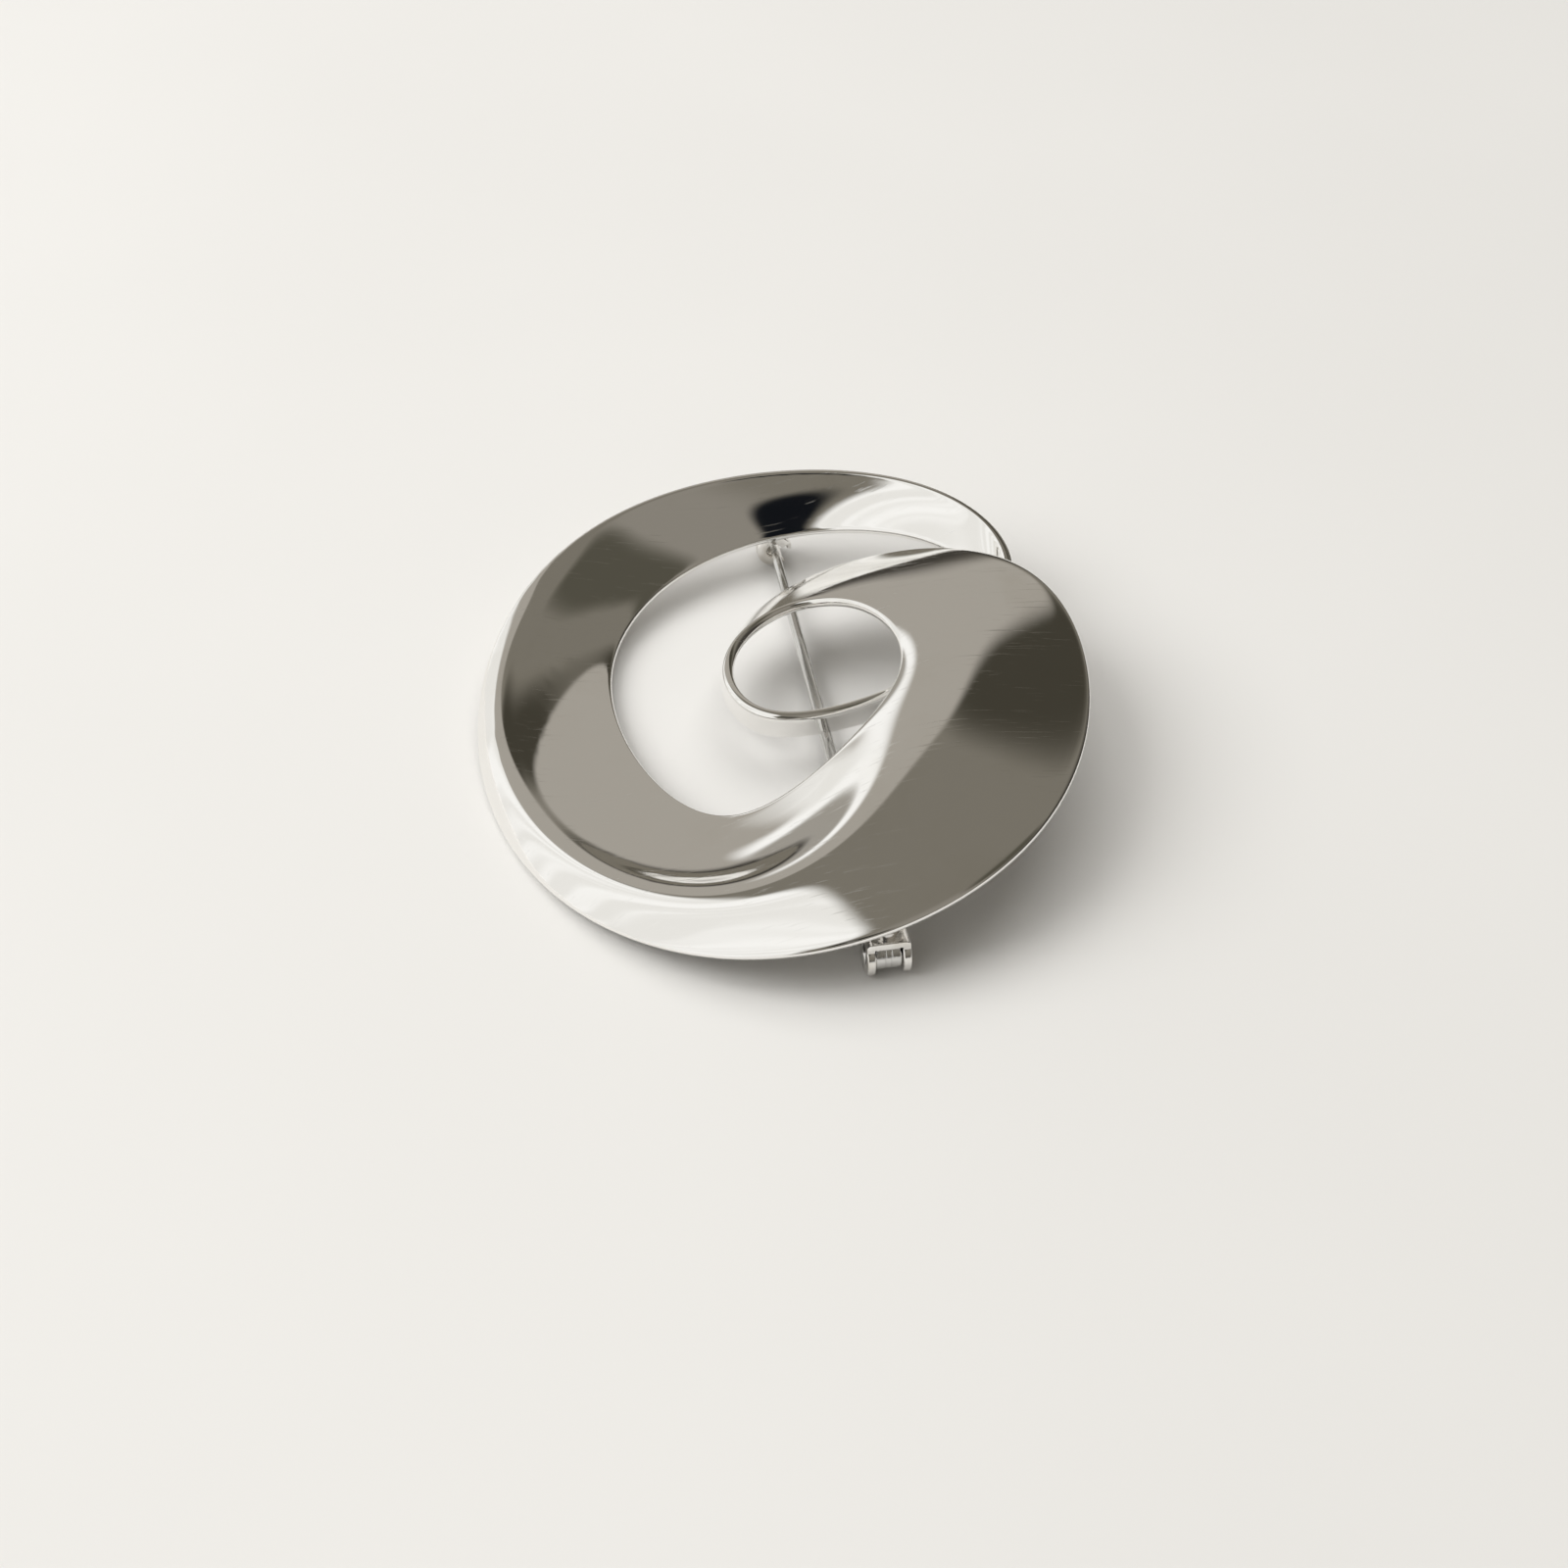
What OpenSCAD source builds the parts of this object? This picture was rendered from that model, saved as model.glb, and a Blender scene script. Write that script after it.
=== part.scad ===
// Swirl brooch: one closed ribbon of polished sheet that goes twice round
// and swaps its two edges, with a hinged pin and a safety catch on its back.
// Millimetres. The brooch lies on its pin side, face up along +Z.

/* [Band] */
// Thickness of the polished sheet
sheet_t = 1.0; // [0.8:0.1:1.2]
// How strongly the band is folded and dished across its width
fold = 1.0; // [0.6:0.1:1.1]
// How far the edge of the sheet is rounded outward
edge_round = 0.35; // [0.2:0.05:0.5]

/* [Pin] */
// Distance of the pin wire to the right of the middle
pin_x = 4.0; // [3.8:0.1:4.2]
// Height of the pin wire above the ground the brooch lies on
pin_z = 1.8; // [1.75:0.05:1.85]
// Diameter of the pin wire at the hinge
wire_d = 1.2; // [1.0:0.1:1.3]
// Diameter of the pin wire where it enters the catch
tip_d = 0.9; // [0.8:0.1:1.0]
// Length of the sharpened end
point_len = 5.0; // [3:0.5:7]
// Place of the point along the pin, from the middle
tip_y = 30.0; // [29.5:0.25:31]

/* [Hinge] */
// Place of the hinge axis, from the middle
hinge_y = -27.5; // [-28:0.25:-27]
// Diameter of the knuckle on the pin
knuckle_d = 2.8; // [2.6:0.1:3.0]
// Width of the knuckle between the ears
knuckle_w = 2.2; // [1.8:0.1:2.6]
// Thickness of each ear
ear_t = 0.7; // [0.5:0.1:0.9]
// Diameter of the rivet
rivet_d = 1.0; // [0.8:0.1:1.2]
// Diameter of the round post under the band
post_d = 2.8; // [2.4:0.1:3.0]
// Gap in running joints
play = 0.05; // [0.02:0.01:0.08]

/* [Catch] */
// Middle of the catch housing along the pin
catch_y = 28.3; // [28:0.1:28.5]
// Length of the catch housing
catch_len = 2.0; // [1.8:0.1:2.2]
// Wall of the catch housing
catch_wall = 0.4; // [0.35:0.05:0.45]
// Wall of the safety roller inside it
roller_wall = 0.5; // [0.4:0.05:0.55]
// Width of the mouth the pin drops into
mouth_w = 1.4; // [1.3:0.05:1.5]
// Reach of the thumb tab from the catch axis
tab_reach = 2.8; // [2.6:0.1:2.9]

/* [Hidden] */
$fn = 48;

SILVER = [0.86, 0.86, 0.84];
STEEL = [0.74, 0.75, 0.76];

// The one edge of the band, which closes after four times round.
// Each guide point is [right, back, height]; the edge is a smooth curve near them.
// Points 0..19 guide the edge that starts outside, 20..39 the one that starts inside.
EDGE = [
  [ 22.5,   8.0,  6.0], [ 26.0,  17.5,  7.5], [ 18.5,  26.5,  9.5], [  2.5,  30.5,  9.5],
  [-14.0,  28.0,  7.5], [-25.0,  17.0,  3.5], [-28.0,   0.0,  0.0], [-22.5, -17.0,  0.5],
  [-10.0, -28.5,  3.0], [  5.5, -30.5,  6.5], [ 19.5, -23.0,  9.0], [ 27.0,  -7.5,  9.5],
  [ 27.0,   8.0, 10.0], [ 20.0,  17.0,  8.0], [  8.5,  18.5,  6.0], [ -1.0,  14.0,  4.5],
  [ -5.0,   6.0,  3.5], [ -3.0,  -1.0,  3.0], [  3.5,  -2.0,  3.5], [ 13.5,   2.0,  2.0],
  [ 23.0,   8.5, -0.5], [ 23.8,  15.5,  4.5], [ 17.6,  21.9,  6.5], [  5.1,  27.1,  4.4],
  [ -7.5,  23.5,  3.0], [-14.5,  15.0,  1.0], [-15.0,   3.8,  1.3], [-12.0,  -6.5,  2.0],
  [ -7.1, -13.2,  3.7], [ -0.9, -12.6,  6.1], [  5.5,  -9.3,  9.3], [ 11.0,  -3.5, 10.5],
  [ 11.5,   3.5, 10.0], [  8.5,   9.5,  9.0], [  3.0,  11.5,  7.5], [ -2.5,   8.5,  7.0],
  [ -5.0,   3.0,  7.0], [ -3.0,  -2.5,  6.5], [  3.5,  -3.5,  6.5], [ 13.5,   0.5,  6.0]];

// How the sheet folds beside that edge: [reach inward as a share of the width,
// rise of the fold in mm, pull toward the fold].
FLAT = [0.33, 0, 1];
FOLDS = [
  FLAT,              [0.33, -0.2, 1],   [0.33, -0.4, 1],   [0.33, -0.4, 1],
  [0.25, 0, 1],      [0.12, 1.6, 3],    [0.13, 2.6, 4],    [0.20, 3, 4],
  [0.30, 3.3, 4],    [0.52, 3.6, 4],    [0.72, 3.2, 2.5],  [0.70, 1.6, 1.5],
  [0.45, 0.6, 1],    [0.33, 0.4, 1],    [0.33, 0.2, 1],    FLAT,
  FLAT,              FLAT,              FLAT,              FLAT,
  FLAT,              FLAT,              [0.33, 0.2, 1],    [0.33, 0.4, 1],
  [0.45, 0, 1.2],    [0.62, 0.3, 2],    [0.68, 0.7, 2.5],  [0.64, 0.8, 2.5],
  [0.52, 0.7, 2.5],  [0.26, 0.3, 2],    [0.14, -1.2, 1.5], [0.18, -2, 1.6],
  [0.18, -1.4, 1.4], [0.25, -0.5, 1],   FLAT,              FLAT,
  FLAT,              FLAT,              FLAT,              FLAT];

LAPS = len(EDGE) / 2;      // guide points in one length of the ribbon
STATIONS = 150;            // sections along the band
STEPS = 16;                // steps across the band
EPS = 0.02;

// Closed smooth curve through a list of guide values, at place s.
function near(list, s) =
  let (n = len(list), i = floor(s) + n, f = s - floor(s))
  ((1 - f) ^ 3 * list[(i - 1) % n] + (3 * f ^ 3 - 6 * f ^ 2 + 4) * list[i % n]
   + (-3 * f ^ 3 + 3 * f ^ 2 + 3 * f + 1) * list[(i + 1) % n]
   + f ^ 3 * list[(i + 2) % n]) / 6;
function unit(v) = v / norm(v);

// Control polygon of the section at s: edge, fold, fold, other edge, two pulls.
function section(s) =
  let (p = near(EDGE, s), q = near(EDGE, s + LAPS),
       run = unit(near(EDGE, s + EPS) - p) + unit(near(EDGE, s + LAPS + EPS) - q),
       up = unit(cross(run, q - p)),
       a = near(FOLDS, s), b = near(FOLDS, s + LAPS))
  [p, p + a[0] * (q - p) + fold * a[1] * up,
   q - b[0] * (q - p) - fold * b[1] * up, q, a[2], b[2]];

// Middle of the sheet at share v across a section.
function across(c, v) =
  let (w0 = (1 - v) ^ 3, w1 = 3 * v * (1 - v) ^ 2 * c[4],
       w2 = 3 * v ^ 2 * (1 - v) * c[5], w3 = v ^ 3)
  (w0 * c[0] + w1 * c[1] + w2 * c[2] + w3 * c[3]) / (w0 + w1 + w2 + w3);

// Direction across the sheet.
function width_dir(c, v) = unit(across(c, v + EPS) - across(c, v - EPS));

// Closed outline of the sheet at s, with both edges rounded.
EDGE_ARC = [45, 0, -45];
function outline(s) =
  let (c = section(s), ahead = section(s + EPS),
       ns = [for (k = [0:STEPS]) let (v = k / STEPS)
             unit(cross(across(ahead, v) - across(c, v), width_dir(c, v)))],
       ps = [for (k = [0:STEPS]) across(c, k / STEPS)],
       out0 = -width_dir(c, 0), out1 = width_dir(c, 1), h = sheet_t / 2)
  concat(
    [for (k = [0:STEPS]) ps[k] + h * ns[k]],
    [for (a = EDGE_ARC) ps[STEPS] + edge_round * cos(a) * out1 + h * sin(a) * ns[STEPS]],
    [for (k = [STEPS:-1:0]) ps[k] - h * ns[k]],
    [for (a = EDGE_ARC) ps[0] + edge_round * cos(a) * out0 - h * sin(a) * ns[0]]);

// The ribbon, closed on itself after a half turn.
module ribbon() {
  half = STEPS + 1 + len(EDGE_ARC);
  loop = 2 * half;
  points = [for (i = [0:STATIONS - 1]) each outline(i * LAPS / STATIONS)];
  function at(i, j) = i < STATIONS ? i * loop + j % loop : (j + half) % loop;
  faces = [for (i = [0:STATIONS - 1], j = [0:loop - 1])
           each [[at(i, j), at(i + 1, j + 1), at(i + 1, j)],
                 [at(i, j), at(i, j + 1), at(i + 1, j + 1)]]];
  polyhedron(points, faces, convexity = 12);
}

module band() color(SILVER) ribbon();

// Solder discs: each lies square to the sheet and sinks into its underside.
PAD_T = 0.9;               // thickness of a disc
PAD_SINK = 0.35;           // how much of it is in the sheet
HINGE_PAD = [pin_x, -27, 6.6];
HINGE_LEAN = [25, -4, 0];
CATCH_PAD = [pin_x, 28.3, 6.75];
CATCH_LEAN = [52, -3, 0];
CATCH_POST_D = 2.0;

module solder_disc(place, lean, d)
  translate(place) rotate(lean) translate([0, 0, PAD_SINK - PAD_T])
    cylinder(h = PAD_T, d = d);

// Upright post from height low, cut off along the middle of a solder disc.
module leaning_post(place, lean, d, low)
  difference() {
    translate([place.x, place.y, low]) cylinder(h = place.z + d - low, d = d);
    translate(place) rotate(lean) translate([-d * 2, -d * 2, PAD_SINK - PAD_T / 2])
      cube([d * 4, d * 4, d * 4]);
  }

module along_pin(y) translate([pin_x, y, pin_z]) rotate([-90, 0, 0]) children();
module across_pin(x) translate([x, hinge_y, pin_z]) rotate([0, 90, 0]) children();

// Hinge
EAR_R = pin_z;             // the ears just reach the ground
PLATE_T = 0.7;
plate_z = pin_z + knuckle_d / 2 + 2 * play;
fork_w = knuckle_w + 2 * play + 2 * ear_t;
HEAD_D = 1.8;
HEAD_T = 0.3;

module hinge_pad() color(SILVER) solder_disc(HINGE_PAD, HINGE_LEAN, post_d + 1.2);

module hinge_post() color(SILVER)
  leaning_post(HINGE_PAD, HINGE_LEAN, post_d, plate_z + PLATE_T / 2);

module hinge_bracket() color(SILVER)
  difference() {
    union() {
      translate([pin_x - fork_w / 2, hinge_y - EAR_R, plate_z])
        cube([fork_w, 2 * EAR_R, PLATE_T]);
      for (side = [-1, 1]) {
        x = pin_x + side * (fork_w - ear_t) / 2;
        across_pin(x - ear_t / 2) cylinder(h = ear_t, r = EAR_R);
        translate([x - ear_t / 2, hinge_y - EAR_R, pin_z])
          cube([ear_t, 2 * EAR_R, plate_z + PLATE_T / 2 - pin_z]);
      }
    }
    across_pin(pin_x - fork_w) cylinder(h = 2 * fork_w, d = rivet_d);
  }

module hinge_rivet() color(STEEL)
  across_pin(pin_x - fork_w / 2) {
    cylinder(h = fork_w, d = rivet_d);
    for (end = [-HEAD_T, fork_w]) translate([0, 0, end]) cylinder(h = HEAD_T, d = HEAD_D);
  }

// Pin
module pin_knuckle() color(STEEL)
  difference() {
    across_pin(pin_x - knuckle_w / 2) cylinder(h = knuckle_w, d = knuckle_d);
    across_pin(pin_x - knuckle_w) cylinder(h = 2 * knuckle_w, d = rivet_d + 2 * play);
  }

stem_y = hinge_y + rivet_d / 2 + 2 * play;
stem_len = tip_y - stem_y;
module pin_stem() color(STEEL)
  difference() {
    along_pin(stem_y) rotate_extrude()
      polygon([[0, 0], [wire_d / 2, 0], [wire_d / 2, stem_len * 0.6],
               [tip_d / 2, stem_len - point_len], [tip_d / 2 * 0.7, stem_len - point_len * 0.45],
               [tip_d / 2 * 0.15, stem_len - 0.1], [0, stem_len]]);
    across_pin(pin_x - wire_d) cylinder(h = 2 * wire_d, d = knuckle_d - 0.4);
  }

// Catch
house_r = pin_z - play;
roller_r = house_r - catch_wall - play;
bore_r = roller_r - roller_wall;
FLANGE_T = 0.3;
COLLAR_T = 0.5;
flange_r = house_r - play;

// A tube along the pin, open below.
module open_tube(y, length, outer, inner)
  difference() {
    along_pin(y) cylinder(h = length, r = outer);
    along_pin(y - 1) cylinder(h = length + 2, r = inner);
    translate([pin_x - mouth_w / 2, y - 1, -outer]) cube([mouth_w, length + 2, outer + pin_z]);
  }

module catch_pad() color(SILVER) solder_disc(CATCH_PAD, CATCH_LEAN, CATCH_POST_D + 0.8);

module catch_post() color(SILVER)
  leaning_post(CATCH_PAD, CATCH_LEAN, CATCH_POST_D, pin_z + house_r - catch_wall / 2);

module catch_housing() color(SILVER)
  open_tube(catch_y - catch_len / 2, catch_len, house_r, house_r - catch_wall);

module safety_roller() color(SILVER) {
  open_tube(catch_y - catch_len / 2 - play, catch_len + 2 * play, roller_r, bore_r);
  open_tube(catch_y + catch_len / 2 + play, FLANGE_T, flange_r, bore_r);
}

module thumb_tab() color(SILVER)
  difference() {
    union() {
      along_pin(catch_y - catch_len / 2 - play - COLLAR_T) {
        cylinder(h = COLLAR_T, r = flange_r);
        translate([tab_reach - 0.6, 0, 0]) cylinder(h = COLLAR_T, r = 0.6);
      }
      translate([pin_x, catch_y - catch_len / 2 - play - COLLAR_T, pin_z - 0.6])
        cube([tab_reach - 0.6, COLLAR_T, 1.2]);
    }
    along_pin(catch_y - 5) cylinder(h = 10, r = bore_r);
    translate([pin_x - mouth_w / 2, catch_y - 5, -flange_r]) cube([mouth_w, 10, flange_r + pin_z]);
  }

band();
hinge_pad();
hinge_post();
hinge_bracket();
hinge_rivet();
pin_knuckle();
pin_stem();
catch_pad();
catch_post();
catch_housing();
safety_roller();
thumb_tab();
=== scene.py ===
import math

import bmesh
import bpy
from mathutils import Euler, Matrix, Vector


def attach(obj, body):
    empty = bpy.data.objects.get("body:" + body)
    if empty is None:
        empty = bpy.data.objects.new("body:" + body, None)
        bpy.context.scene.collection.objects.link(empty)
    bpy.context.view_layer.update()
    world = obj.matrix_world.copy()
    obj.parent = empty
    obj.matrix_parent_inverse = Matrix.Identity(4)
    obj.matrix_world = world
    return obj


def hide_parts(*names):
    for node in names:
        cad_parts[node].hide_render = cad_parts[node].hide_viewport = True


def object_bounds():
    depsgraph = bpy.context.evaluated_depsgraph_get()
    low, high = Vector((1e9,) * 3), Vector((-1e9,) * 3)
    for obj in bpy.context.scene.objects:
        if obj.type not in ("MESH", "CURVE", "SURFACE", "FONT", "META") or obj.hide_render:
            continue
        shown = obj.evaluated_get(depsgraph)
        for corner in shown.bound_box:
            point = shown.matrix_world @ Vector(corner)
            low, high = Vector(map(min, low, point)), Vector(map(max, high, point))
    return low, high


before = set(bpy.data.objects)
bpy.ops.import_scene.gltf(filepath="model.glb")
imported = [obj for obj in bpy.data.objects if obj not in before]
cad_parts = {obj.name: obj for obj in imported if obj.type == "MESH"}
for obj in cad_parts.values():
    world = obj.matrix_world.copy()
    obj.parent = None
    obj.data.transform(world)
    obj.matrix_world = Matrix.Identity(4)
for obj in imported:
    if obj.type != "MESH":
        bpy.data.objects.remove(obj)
cad_box = [list(corner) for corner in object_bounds()]

# The camera and the room. The brooch lies face up on a pale table top and is seen from
# the front and above. The room is a soft studio: a curtained window on the left, a light
# ceiling behind, a dark wall on the right, and a small black flag in front.
bpy.ops.object.select_all(action="DESELECT")
bpy.ops.object.camera_add(location=(-0.0269, -0.1564, 0.1454))
camera = bpy.context.object
camera.rotation_mode = "QUATERNION"
camera.rotation_quaternion = Vector((0.1246, 0.7169, -0.6860)).to_track_quat("-Z", "Y")
camera.data.sensor_width = 36
camera.data.lens = 54.43
camera.data.clip_start = 0.005
bpy.context.scene.camera = camera

bpy.ops.mesh.primitive_plane_add(size=1.6, location=(0, 0.25, cad_box[0][2]))
table_top = bpy.context.object
table_top.name = "table_top"


class Tap:
    """One output of a node. Arithmetic on it adds Math nodes, node() adds any other."""

    def __init__(self, tree, socket=None):
        self.tree, self.socket = tree, socket

    def node(self, kind, settings=None, inputs=None, out=0):
        made = self.tree.nodes.new(kind)
        for key, value in (settings or {}).items():
            if key == "stops":
                ramp = made.color_ramp.elements
                while len(ramp) < len(value):
                    ramp.new(0.5)
                for stop, (place, colour) in zip(ramp, value):
                    stop.position, stop.color = place, colour
            else:
                setattr(made, key, value)
        for key, value in (inputs or {}).items():
            if isinstance(value, Tap):
                self.tree.links.new(value.socket, made.inputs[key])
            else:
                made.inputs[key].default_value = value
        return Tap(self.tree, made.outputs[out])

    def math(self, operation, a, b=0.0):
        return self.node("ShaderNodeMath", {"operation": operation}, {0: a, 1: b})

    def __add__(self, other): return self.math("ADD", self, other)
    def __radd__(self, other): return self.math("ADD", other, self)
    def __sub__(self, other): return self.math("SUBTRACT", self, other)
    def __rsub__(self, other): return self.math("SUBTRACT", other, self)
    def __mul__(self, other): return self.math("MULTIPLY", self, other)
    def __rmul__(self, other): return self.math("MULTIPLY", other, self)

    def between(self, low, high):
        """0 below low, 1 above high, and a smooth step from one to the other."""
        return self.node("ShaderNodeMapRange", {"interpolation_type": "SMOOTHSTEP"},
                         {0: self, 1: low, 2: high})

    def blend(self, low, high):
        """The colour low where this is 0, and high where it is 1."""
        return self.node("ShaderNodeMix", {"data_type": "RGBA"},
                         {0: self, 6: low, 7: high}, out=2)


world = bpy.data.worlds.new("studio")
world.use_nodes = True
bpy.context.scene.world = world
bpy.context.scene.view_settings.view_transform = "Standard"
room = Tap(world.node_tree)
heading = room.node("ShaderNodeTexCoord", out="Generated")


def patch(direction, low, high):
    """1 where the room is seen towards direction, fading to 0 at its rim."""
    cosine = room.node("ShaderNodeVectorMath", {"operation": "DOT_PRODUCT"},
                       {0: heading, 1: tuple(Vector(direction).normalized())}, out="Value")
    return cosine.between(low, high)


folds = room.node("ShaderNodeTexNoise", {"noise_dimensions": "3D"},
                  {"Vector": room.node("ShaderNodeMapping", {},
                                       {"Vector": heading, "Scale": (0.4, 7.0, 0.4)}),
                   "Scale": 1.6, "Detail": 1.0})
curtain = folds.between(0.38, 0.62).blend((0.84, 0.83, 0.80, 1), (0.97, 0.965, 0.945, 1))
dark_wall = (0.05, 0.045, 0.038, 1)
wall = (0.19, 0.175, 0.145, 1)
for direction, low, high, tone in (
        ((0.30, -0.60, 0.75), 0.84, 0.98, (0.25, 0.232, 0.20, 1)),      # lit wall in front
        ((0.42, 0.68, 0.60), 0.94, 0.992, (0.052, 0.047, 0.035, 1)),    # dark corner behind
        ((0.52, -0.15, 0.84), 0.95, 0.99, (0.085, 0.079, 0.060, 1)),    # shaded ceiling
        ((1, 0, 0), 0.62, 0.85, dark_wall),                             # wall on the right
        ((-0.05, 0.85, 0.50), 0.885, 0.91, (0.38, 0.355, 0.315, 1)),    # light ceiling behind
        ((0, 0, -1), -0.22, -0.08, dark_wall),                          # foot of every wall
        ((-1, 0, 0), 0.36, 0.45, curtain),                              # window on the left
        ((-0.60, -0.20, 0.77), 0.86, 0.90, curtain),                    # its upper pane
        ((-0.42, 0.88, 0.25), 0.96, 0.985, curtain),                    # its far pane
        ((-0.31, 0.93, 0.16), 0.983, 0.996, (0.34, 0.32, 0.285, 1)),    # window post
        ((-0.12, -0.72, 0.686), 0.977, 0.990, (0.006, 0.007, 0.009, 1))):   # black flag
    wall = patch(direction, low, high).blend(wall, tone)
world.node_tree.links.new(wall.socket, world.node_tree.nodes["Background"].inputs["Color"])


def softbox(name, place, size, power):
    """A soft light that hangs at place and faces the brooch, which doesn't mirror it."""
    bpy.ops.object.light_add(type="AREA", location=place)
    light = bpy.context.object
    light.name = name
    light.rotation_mode = "QUATERNION"
    light.rotation_quaternion = (-Vector(place)).to_track_quat("-Z", "Y")
    light.data.shape = "RECTANGLE"
    light.data.size, light.data.size_y = size
    light.data.energy = power
    light.visible_glossy = False


softbox("window_glow", (-0.60, 0.05, 0.60), (0.6, 0.6), 5.0)
softbox("overhead_glow", (0.10, 0.30, 0.95), (1.0, 1.0), 6.0)


def new_material(name, **constants):
    """A material with one Principled shader; returns it, its shader and a Tap on its nodes."""
    made = bpy.data.materials.new(name)
    made.use_nodes = True
    shader = made.node_tree.nodes["Principled BSDF"]
    for key, value in constants.items():
        shader.inputs[key.replace("_", " ")].default_value = value
    return made, shader, Tap(made.node_tree)


def feed(tap, shader, socket):
    tap.tree.links.new(tap.socket, shader.inputs[socket])


top, top_shader, tap = new_material("pale_table", Roughness=0.6)
place = tap.node("ShaderNodeTexCoord", out="Object")
mottle = tap.node("ShaderNodeTexNoise", {}, {"Vector": place, "Scale": 9.0, "Detail": 3.0})
feed(mottle.blend((0.66, 0.65, 0.63, 1), (0.72, 0.71, 0.69, 1)), top_shader, "Base Color")
table_top.data.materials.append(top)

# The band: one ribbon of 1 mm sterling sheet, bent and hammered over a form, closed on
# itself with a half twist and polished to a mirror on both faces. Its edges are rounded.
# Wear has left fine scratches that run every way, and finger marks that dull it a little.


def clear_hands():
    """Nothing is selected and nothing is being edited."""
    if bpy.context.object and bpy.context.object.mode != "OBJECT":
        bpy.ops.object.mode_set(mode="OBJECT")
    bpy.ops.object.select_all(action="DESELECT")


def apply(piece, kind, **settings):
    """Adds a modifier to the piece and applies it."""
    clear_hands()
    piece.select_set(True)
    bpy.context.view_layer.objects.active = piece
    made = piece.modifiers.new(kind.lower(), kind)
    for key, value in settings.items():
        setattr(made, key, value)
    bpy.ops.object.modifier_apply(modifier=made.name)


def finish(piece, material, slot, body, *nodes, angle=35):
    """Smooths the piece's shading, gives it its material, and puts it in the nodes' place."""
    clear_hands()
    piece.select_set(True)
    bpy.context.view_layer.objects.active = piece
    bpy.ops.object.shade_smooth_by_angle(angle=math.radians(angle))
    piece.data.materials.clear()
    piece.data.materials.append(material)
    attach(piece, body)
    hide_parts(*nodes)


clear_hands()
cad_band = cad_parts["band"]
cad_band.select_set(True)
bpy.context.view_layer.objects.active = cad_band
bpy.ops.object.duplicate()
band = bpy.context.object
band.name = "polished_band"
bpy.ops.object.mode_set(mode="EDIT")
bpy.ops.mesh.select_all(action="SELECT")
bpy.ops.mesh.remove_doubles(threshold=1e-6)
bpy.ops.mesh.tris_convert_to_quads(face_threshold=math.pi, shape_threshold=math.pi)
bpy.ops.object.mode_set(mode="OBJECT")
apply(band, "SUBSURF", levels=2, render_levels=2)


def scratches(tap, place, turn, scale, low, high):
    """Sparse thin lines that all run one way, turned about the vertical by turn degrees."""
    along = tap.node("ShaderNodeMapping", {},
                     {"Vector": place, "Rotation": (0.0, 0.0, math.radians(turn)),
                      "Scale": (scale * 0.02, scale, scale * 0.12)})
    grain = tap.node("ShaderNodeTexNoise", {}, {"Vector": along, "Scale": 1.0, "Detail": 2.0})
    return grain.between(low, high)


silver, silver_shader, tap = new_material("polished_silver", Metallic=1.0)
place = tap.node("ShaderNodeTexCoord", out="Object")
cloudy = tap.node("ShaderNodeTexNoise", {}, {"Vector": place, "Scale": 75.0, "Detail": 5.0,
                                             "Roughness": 0.6, "Distortion": 0.4})
fine = tap.node("ShaderNodeTexNoise", {}, {"Vector": place, "Scale": 900.0, "Detail": 3.0})
marks = (scratches(tap, place, 17, 6200, 0.66, 0.72)
         + scratches(tap, place, 74, 7400, 0.675, 0.73)
         + scratches(tap, place, 138, 5600, 0.68, 0.74))
right, back, height = (tap.node("ShaderNodeSeparateXYZ", {}, {"Vector": place}, out=axis)
                       for axis in "XYZ")
flat = tap.node("ShaderNodeCombineXYZ", {}, {"X": right, "Y": back})
out = tap.node("ShaderNodeVectorMath", {"operation": "LENGTH"}, {0: flat}, out="Value")
turn = tap.math("ARCTAN2", back, right)
buffed = tap.node("ShaderNodeTexNoise", {}, {
    "Vector": tap.node("ShaderNodeCombineXYZ", {}, {"X": out * 1900.0, "Y": turn * 2.5,
                                                    "Z": height * 260.0}),
    "Scale": 1.0, "Detail": 3.0})
dull = cloudy.between(0.50, 0.78)
feed(0.03 + dull * 0.045 + fine * 0.02 + buffed * 0.03 + marks * 0.16,
     silver_shader, "Roughness")
feed(dull.blend((0.945, 0.935, 0.915, 1), (0.90, 0.885, 0.85, 1)), silver_shader, "Base Color")
hammered = tap.node("ShaderNodeTexNoise", {}, {"Vector": place, "Scale": 190.0, "Detail": 1.0})
relief = hammered * 0.012 + buffed * 0.0007 - marks * 0.0016
feed(tap.node("ShaderNodeBump", {}, {"Strength": 0.35, "Distance": 0.001, "Height": relief}),
     silver_shader, "Normal")
finish(band, silver, "silver", "brooch", "band", angle=180)

# The hinge peg: a round silver post, turned from rod, that stands under the low edge of the
# band. It is soldered to the band's underside, and the solder has drawn up round it in a
# smooth collar that leans with the sheet.
MM = 0.001
PIN_X, PIN_Z = 4.0, 1.8
HINGE_Y = -27.5
SOLDER_DEPTH = 0.62     # from the middle of the sheet down to where the collar meets it


def at(x, y, z):
    """A place given in millimetres."""
    return Vector((x, y, z)) * MM


def grow(steps, centre, axis):
    """Draws the selected ring out along axis, ring by ring. A step is (distance, radius) in mm,
    both counted from centre, and the ring starts at the first step."""
    for (was, old), (now, new) in zip(steps, steps[1:]):
        bpy.ops.mesh.extrude_region_move(
            TRANSFORM_OT_translate={"value": axis * (now - was) * MM})
        bpy.ops.transform.resize(value=(new / old,) * 3, center_override=centre + axis * now * MM)


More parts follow.
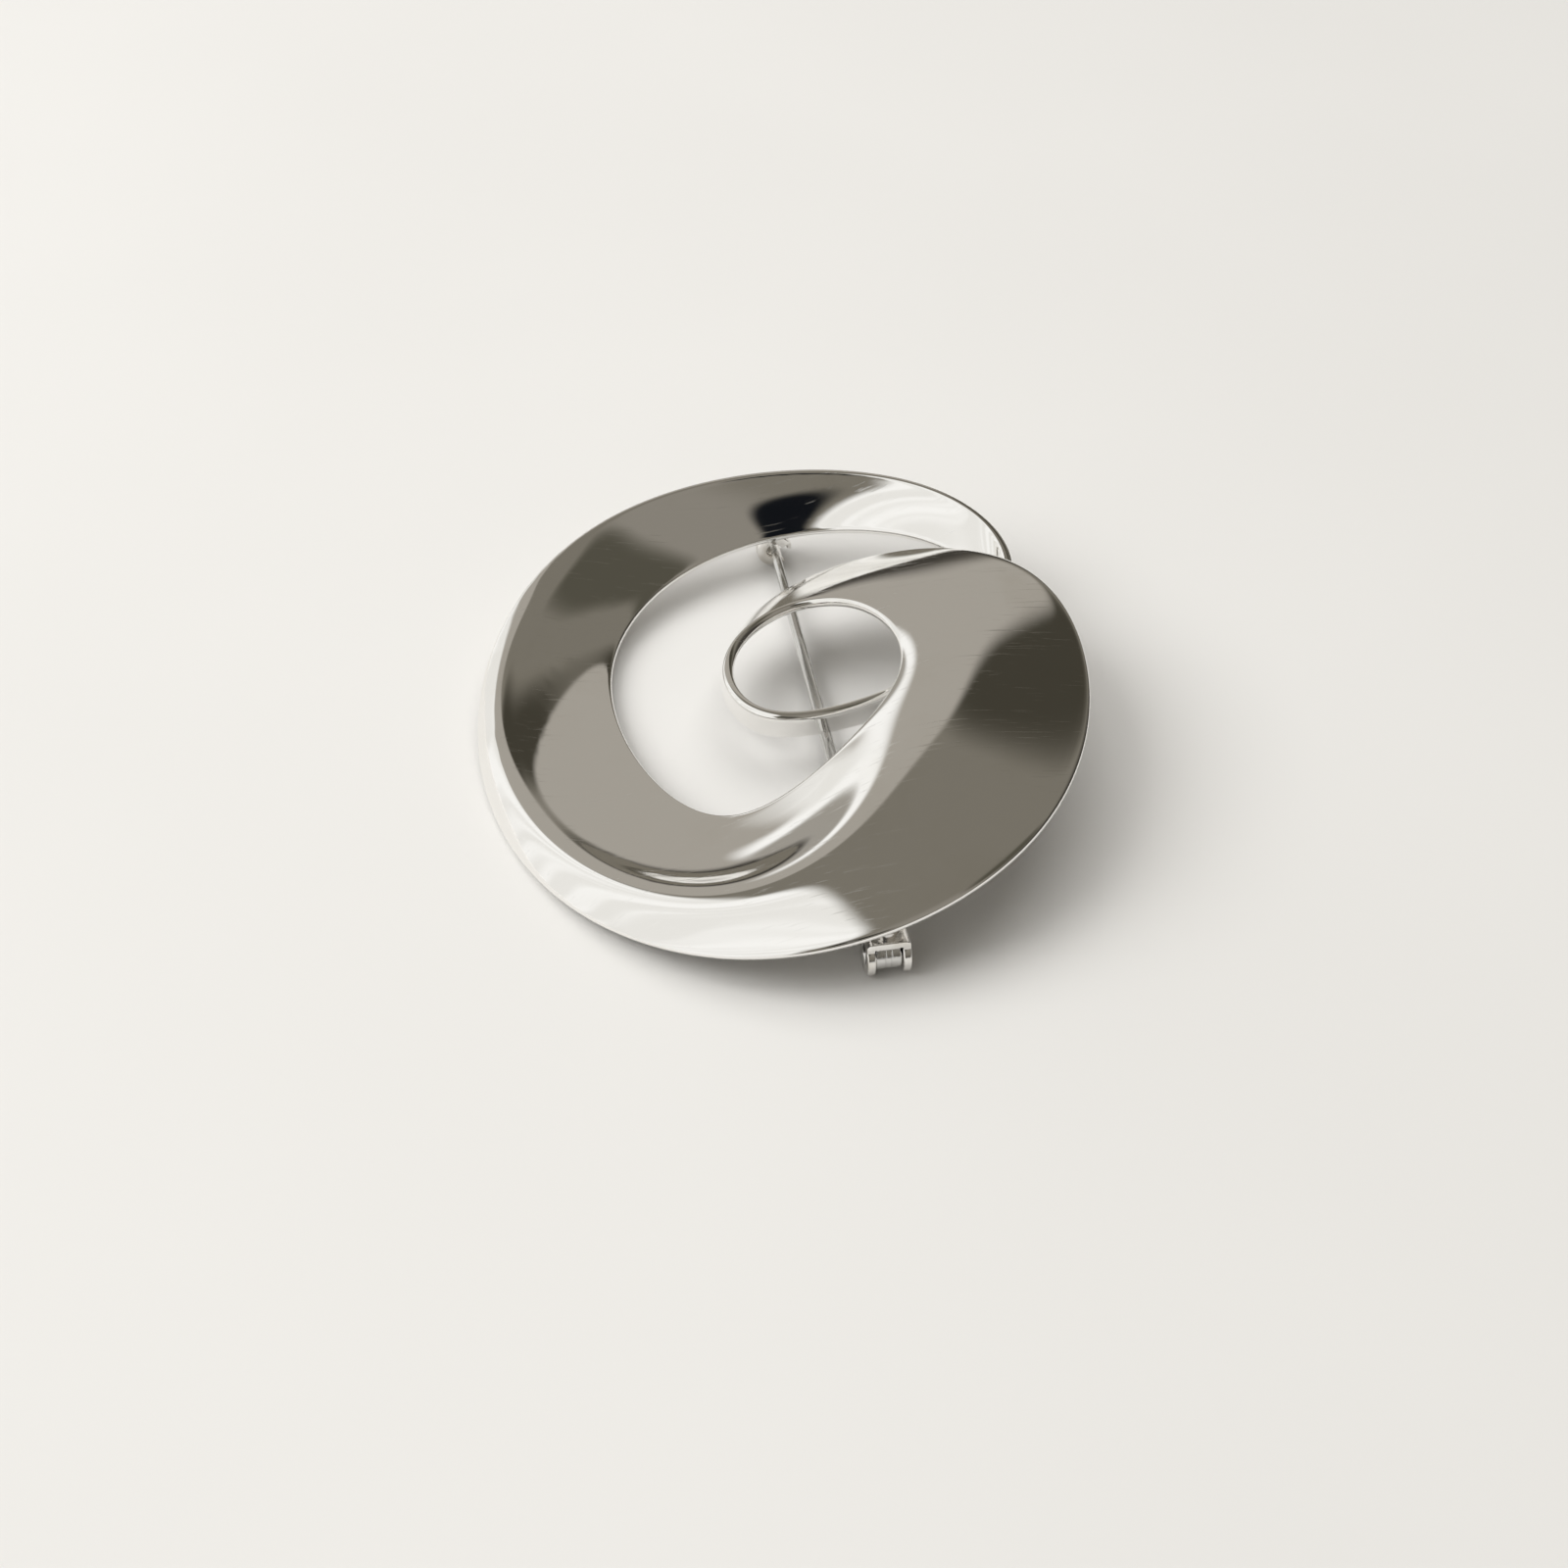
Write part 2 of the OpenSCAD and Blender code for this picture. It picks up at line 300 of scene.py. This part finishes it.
def close_up():
    """Fills open ends, merges what meets, and turns every face outward."""
    bpy.ops.mesh.select_all(action="SELECT")
    bpy.ops.mesh.remove_doubles(threshold=1e-6)
    bpy.ops.mesh.fill_holes(sides=0)
    bpy.ops.mesh.select_all(action="SELECT")
    bpy.ops.mesh.normals_make_consistent(inside=False)
    bpy.ops.object.mode_set(mode="OBJECT")


def ring(name, centre, radius, sides=40):
    """Starts a new piece as one flat ring, ready to be drawn out."""
    clear_hands()
    bpy.ops.mesh.primitive_circle_add(vertices=sides, radius=radius * MM, location=centre)
    bpy.ops.object.transform_apply(location=True, rotation=True, scale=True)
    piece = bpy.context.object
    piece.name = name
    bpy.ops.object.mode_set(mode="EDIT")
    bpy.ops.mesh.select_all(action="SELECT")
    return piece


def soldered_peg(name, pad, lean, radius, foot, neck, rim):
    """A post from foot up to neck, then a solder collar out to a leaning disc in the sheet."""
    low = at(pad.x, pad.y, 0)
    up = Vector((0, 0, 1))
    piece = ring(name, low + at(0, 0, foot), radius * 0.93)
    grow([(foot, radius * 0.93), (foot + 0.04, radius * 0.98), (foot + 0.12, radius),
          (neck, radius)], low, up)
    turn = lean.to_matrix() @ up
    disc = pad * MM - turn * SOLDER_DEPTH * MM
    bpy.ops.mesh.primitive_circle_add(vertices=40, radius=rim * MM, location=disc, rotation=lean)
    cage = bmesh.from_edit_mesh(piece.data)
    for edge in cage.edges:
        edge.select = len(edge.link_faces) < 2 and all(
            vertex.co.z > (neck - 0.01) * MM for vertex in edge.verts)
    bmesh.update_edit_mesh(piece.data)
    bpy.ops.mesh.bridge_edge_loops(number_cuts=7, interpolation="SURFACE", smoothness=1.0)
    cage = bmesh.from_edit_mesh(piece.data)
    for edge in cage.edges:
        edge.select = len(edge.link_faces) == 1 and edge.verts[0].co.z > (neck + 0.01) * MM
    cage.select_flush(True)
    bmesh.update_edit_mesh(piece.data)
    grow([(0, rim), (0.22, rim * 1.03), (0.44, rim * 1.08), (SOLDER_DEPTH, rim * 1.17),
          (0.85, rim * 1.17)], disc, turn)
    close_up()
    return piece


findings, findings_shader, tap = new_material("findings_silver", Metallic=1.0)
place = tap.node("ShaderNodeTexCoord", out="Object")
cloudy = tap.node("ShaderNodeTexNoise", {}, {"Vector": place, "Scale": 420.0, "Detail": 5.0})
fine = tap.node("ShaderNodeTexNoise", {}, {"Vector": place, "Scale": 4200.0, "Detail": 2.0})
tarnish = cloudy.between(0.42, 0.74)
feed(0.13 + tarnish * 0.14 + fine * 0.05, findings_shader, "Roughness")
feed(tarnish.blend((0.90, 0.885, 0.86, 1), (0.70, 0.66, 0.59, 1)), findings_shader, "Base Color")
feed(tap.node("ShaderNodeBump", {}, {"Strength": 0.3, "Distance": 0.0002,
                                     "Height": cloudy * 0.5 + fine * 0.12}),
     findings_shader, "Normal")

hinge_peg = soldered_peg("hinge_peg", Vector((PIN_X, -27.0, 6.6)),
                         Euler((math.radians(25), math.radians(-4), 0)),
                         radius=1.4, foot=3.65, neck=4.7, rim=2.0)
finish(hinge_peg, findings, "silver", "brooch", "hinge_pad", "hinge_post", angle=50)

# The hinge bracket: a strip of silver plate whose two ends are bent down and soldered to
# round ears, which hold the rivet. It is soldered flat to the foot of the peg.
EAR_SPREAD = 3.7
EAR_LOW, EAR_HIGH = PIN_X - EAR_SPREAD / 2, PIN_X + EAR_SPREAD / 2
EAR_T, PLATE_LOW, PLATE_HIGH, STRIP = 0.7, 3.3, 4.0, 2.5


def pick(piece, kind, test):
    """Selects only the faces or edges of the piece whose middle, in mm, passes the test."""
    cage = bmesh.from_edit_mesh(piece.data)
    for face in cage.faces:
        face.select = False
    for edge in cage.edges:
        edge.select = False
    for item in getattr(cage, kind):
        middle = sum((vertex.co for vertex in item.verts), Vector()) / len(item.verts) / MM
        if test(middle, item):
            item.select = True
    bmesh.update_edit_mesh(piece.data)


def along(edge, axis):
    """Whether the edge runs along that axis: 0 is x, 1 is y and 2 is z."""
    run = (edge.verts[1].co - edge.verts[0].co).normalized()
    return abs(run[axis]) > 0.99


def turned(name, start, axis, profile, sides=40):
    """A turned piece: profile is its outline, as (distance along axis, radius) in mm."""
    piece = ring(name, start + axis * profile[0][0] * MM, profile[0][1], sides)
    if abs(axis.z) < 0.5:
        bpy.ops.transform.rotate(
            value=math.pi / 2, orient_axis="X" if abs(axis.y) > 0.5 else "Y",
            center_override=start + axis * profile[0][0] * MM)
    grow(profile, start, axis)
    close_up()
    return piece


def join(first, *others):
    """Makes several pieces one."""
    clear_hands()
    for piece in (first, *others):
        piece.select_set(True)
    bpy.context.view_layer.objects.active = first
    bpy.ops.object.join()


ACROSS, ALONG = Vector((1, 0, 0)), Vector((0, 1, 0))
clear_hands()
bpy.ops.mesh.primitive_cube_add(
    size=MM, location=at(PIN_X, HINGE_Y, (PLATE_LOW + PLATE_HIGH) / 2),
    scale=(EAR_HIGH - EAR_LOW, STRIP, PLATE_HIGH - PLATE_LOW))
bpy.ops.object.transform_apply(location=True, rotation=True, scale=True)
fork = bpy.context.object
fork.name = "hinge_fork"
bpy.ops.object.mode_set(mode="EDIT")
for cut in (EAR_LOW + EAR_T, EAR_HIGH - EAR_T):
    bpy.ops.mesh.select_all(action="SELECT")
    bpy.ops.mesh.bisect(plane_co=at(cut, 0, 0), plane_no=(1, 0, 0))
pick(fork, "faces", lambda m, f: f.normal.z < -0.9 and abs(m.x - PIN_X) > 1.2)
bpy.ops.mesh.extrude_region_move(TRANSFORM_OT_translate={"value": at(0, 0, PIN_Z - PLATE_LOW)})
pick(fork, "edges", lambda m, e: along(e, 1) and m.z > PLATE_HIGH - 0.01
     and (m.x < EAR_LOW + 0.01 or m.x > EAR_HIGH - 0.01))
bpy.ops.mesh.bevel(offset=0.55 * MM, segments=6, affect="EDGES")
bpy.ops.object.mode_set(mode="OBJECT")
apply(fork, "BEVEL", width=0.09 * MM, segments=3, limit_method="ANGLE",
      angle_limit=math.radians(40))
ear = [(0.0, 0.3), (0.0, 1.66), (0.02, 1.74), (0.07, 1.785), (0.13, 1.80), (0.57, 1.80),
       (0.63, 1.785), (0.68, 1.74), (0.70, 1.66), (0.70, 0.3)]
join(fork, turned("left_ear", at(EAR_LOW, HINGE_Y, PIN_Z), ACROSS, ear, 56),
     turned("right_ear", at(EAR_HIGH - EAR_T, HINGE_Y, PIN_Z), ACROSS, ear, 56))
finish(fork, findings, "silver", "brooch", "hinge_bracket")

# The rivet: a steel wire through both ears, its ends hammered into low round heads.
dome = [(0.30, 0.22), (0.27, 0.46), (0.20, 0.68), (0.10, 0.84), (0.02, 0.90), (0.0, 0.86)]
rivet = turned("hinge_rivet_peened", at(EAR_LOW, HINGE_Y, PIN_Z), ACROSS,
               [(-d, r) for d, r in dome] + [(0.0, 0.5), (EAR_SPREAD, 0.5)]
               + [(EAR_SPREAD + d, r) for d, r in reversed(dome)])

steel, steel_shader, tap = new_material("drawn_steel", Metallic=1.0)
place = tap.node("ShaderNodeTexCoord", out="Object")
drawn = tap.node("ShaderNodeTexNoise", {}, {
    "Vector": tap.node("ShaderNodeMapping", {}, {"Vector": place, "Scale": (9000, 220, 9000)}),
    "Scale": 1.0, "Detail": 3.0})
cloudy = tap.node("ShaderNodeTexNoise", {}, {"Vector": place, "Scale": 260.0, "Detail": 4.0})
feed(0.09 + drawn * 0.10 + cloudy.between(0.45, 0.8) * 0.12, steel_shader, "Roughness")
feed(cloudy.blend((0.78, 0.78, 0.775, 1), (0.66, 0.655, 0.64, 1)), steel_shader, "Base Color")
feed(tap.node("ShaderNodeBump", {}, {"Strength": 0.25, "Distance": 0.00005, "Height": drawn}),
     steel_shader, "Normal")
finish(rivet, steel, "steel", "brooch", "hinge_rivet")

# The pin: a hard drawn steel wire, ground to a long fine point, and soldered into a knuckle
# that is turned from rod and drilled for the rivet.
knuckle = turned("pin_knuckle_drilled", at(PIN_X - 1.1, HINGE_Y, PIN_Z), ACROSS,
                 [(0.0, 0.64), (0.0, 1.26), (0.03, 1.34), (0.10, 1.39), (0.20, 1.40),
                  (0.78, 1.40), (0.82, 1.37), (0.88, 1.37), (0.92, 1.40),
                  (1.28, 1.40), (1.32, 1.37), (1.38, 1.37), (1.42, 1.40),
                  (2.00, 1.40), (2.10, 1.39), (2.17, 1.34), (2.20, 1.26), (2.20, 0.64),
                  (2.14, 0.56), (0.06, 0.56), (0.0, 0.64)], sides=56)
finish(knuckle, steel, "steel", "pin", "pin_knuckle")
stem = turned("pin_wire_ground", at(PIN_X, -26.9, PIN_Z), ALONG,
              [(0.0, 0.60), (0.55, 0.86), (0.95, 0.84), (1.15, 0.76), (1.40, 0.67),
               (1.75, 0.615), (2.2, 0.60), (12.0, 0.60), (24.0, 0.60), (34.0, 0.60),
               (42.0, 0.53), (48.0, 0.48), (51.9, 0.45), (53.3, 0.395), (54.4, 0.325),
               (55.4, 0.235), (56.2, 0.145), (56.7, 0.075), (56.88, 0.03)], sides=36)
finish(stem, steel, "steel", "pin", "pin_stem")

# The catch peg: a shorter post of the same kind under the top of the ring, where the
# sheet stands steep. Its solder collar leans with the sheet.
catch_peg = soldered_peg("catch_peg", Vector((PIN_X, 28.3, 6.75)),
                         Euler((math.radians(52), math.radians(-3), 0)),
                         radius=1.0, foot=3.35, neck=4.45, rim=1.35)
finish(catch_peg, findings, "silver", "brooch", "catch_pad", "catch_post", angle=50)

# The catch: a short length of silver tube, open below, that the point of the pin drops
# into. It is soldered to the foot of the catch peg.


def split_tube(name, low, high, outer, inner, half_mouth):
    """A tube round the pin from low to high along it, open below: a strip's section, its
    corners rounded, is spun round the pin from one lip of the mouth to the other."""
    clear_hands()
    lip = math.radians(90 - half_mouth)
    middle = (outer + inner) / 2
    bpy.ops.mesh.primitive_plane_add(
        size=MM, location=at(PIN_X + middle * math.cos(lip), (low + high) / 2,
                             PIN_Z - middle * math.sin(lip)), rotation=(0, lip, 0))
    piece = bpy.context.object
    piece.name = name
    piece.scale = (outer - inner, high - low, 1)
    bpy.ops.object.transform_apply(location=True, rotation=True, scale=True)
    bpy.ops.object.mode_set(mode="EDIT")
    bpy.ops.mesh.select_all(action="SELECT")
    bpy.ops.mesh.bevel(offset=0.07 * MM, segments=3, affect="VERTICES")
    bpy.ops.mesh.spin(steps=44, angle=-math.radians(360 - 2 * half_mouth),
                      center=at(PIN_X, 0, PIN_Z), axis=(0, 1, 0))
    close_up()
    return piece


TUBE_FRONT, TUBE_BACK = 27.3, 29.3
housing = split_tube("catch_tube", TUBE_FRONT, TUBE_BACK, 1.75, 1.35, 27)
finish(housing, findings, "silver", "brooch", "catch_housing")

# The safety roller: a split tube that turns inside the catch and shuts its mouth. A flange
# behind and the thumb tab's collar in front keep it in place.
ROLLER_FRONT, ROLLER_BACK = TUBE_FRONT - 0.05, TUBE_BACK + 0.05
ROLLER_BORE, FLANGE, ROLLER_MOUTH = 0.80, 1.70, 38
roller = split_tube("roller_tube", ROLLER_FRONT, ROLLER_BACK, 1.30, ROLLER_BORE, ROLLER_MOUTH)
join(roller, split_tube("roller_flange", ROLLER_BACK, ROLLER_BACK + 0.3, FLANGE, ROLLER_BORE,
                        ROLLER_MOUTH))
finish(roller, findings, "silver", "safety", "safety_roller")

# The thumb tab: a collar on the roller's front end, with one lug drawn out sideways to
# turn it by. Its corners are filed round.
tab = split_tube("thumb_lug", ROLLER_FRONT - 0.5, ROLLER_FRONT, FLANGE, ROLLER_BORE, ROLLER_MOUTH)
bpy.ops.object.mode_set(mode="EDIT")
pick(tab, "faces", lambda m, f: f.normal.x > 0.85 and m.x > PIN_X + 1.6
     and abs(m.z - PIN_Z) < 0.62)
bpy.ops.mesh.extrude_region_move(TRANSFORM_OT_translate={"value": at(1.05, 0, 0)})
bpy.ops.transform.resize(value=(0, 1, 1),
                         center_override=at(PIN_X + FLANGE + 1.05, ROLLER_FRONT - 0.25, PIN_Z))
bpy.ops.object.mode_set(mode="OBJECT")
apply(tab, "BEVEL", width=0.06 * MM, segments=3, limit_method="ANGLE",
      angle_limit=math.radians(50))
finish(tab, findings, "silver", "safety", "thumb_tab")
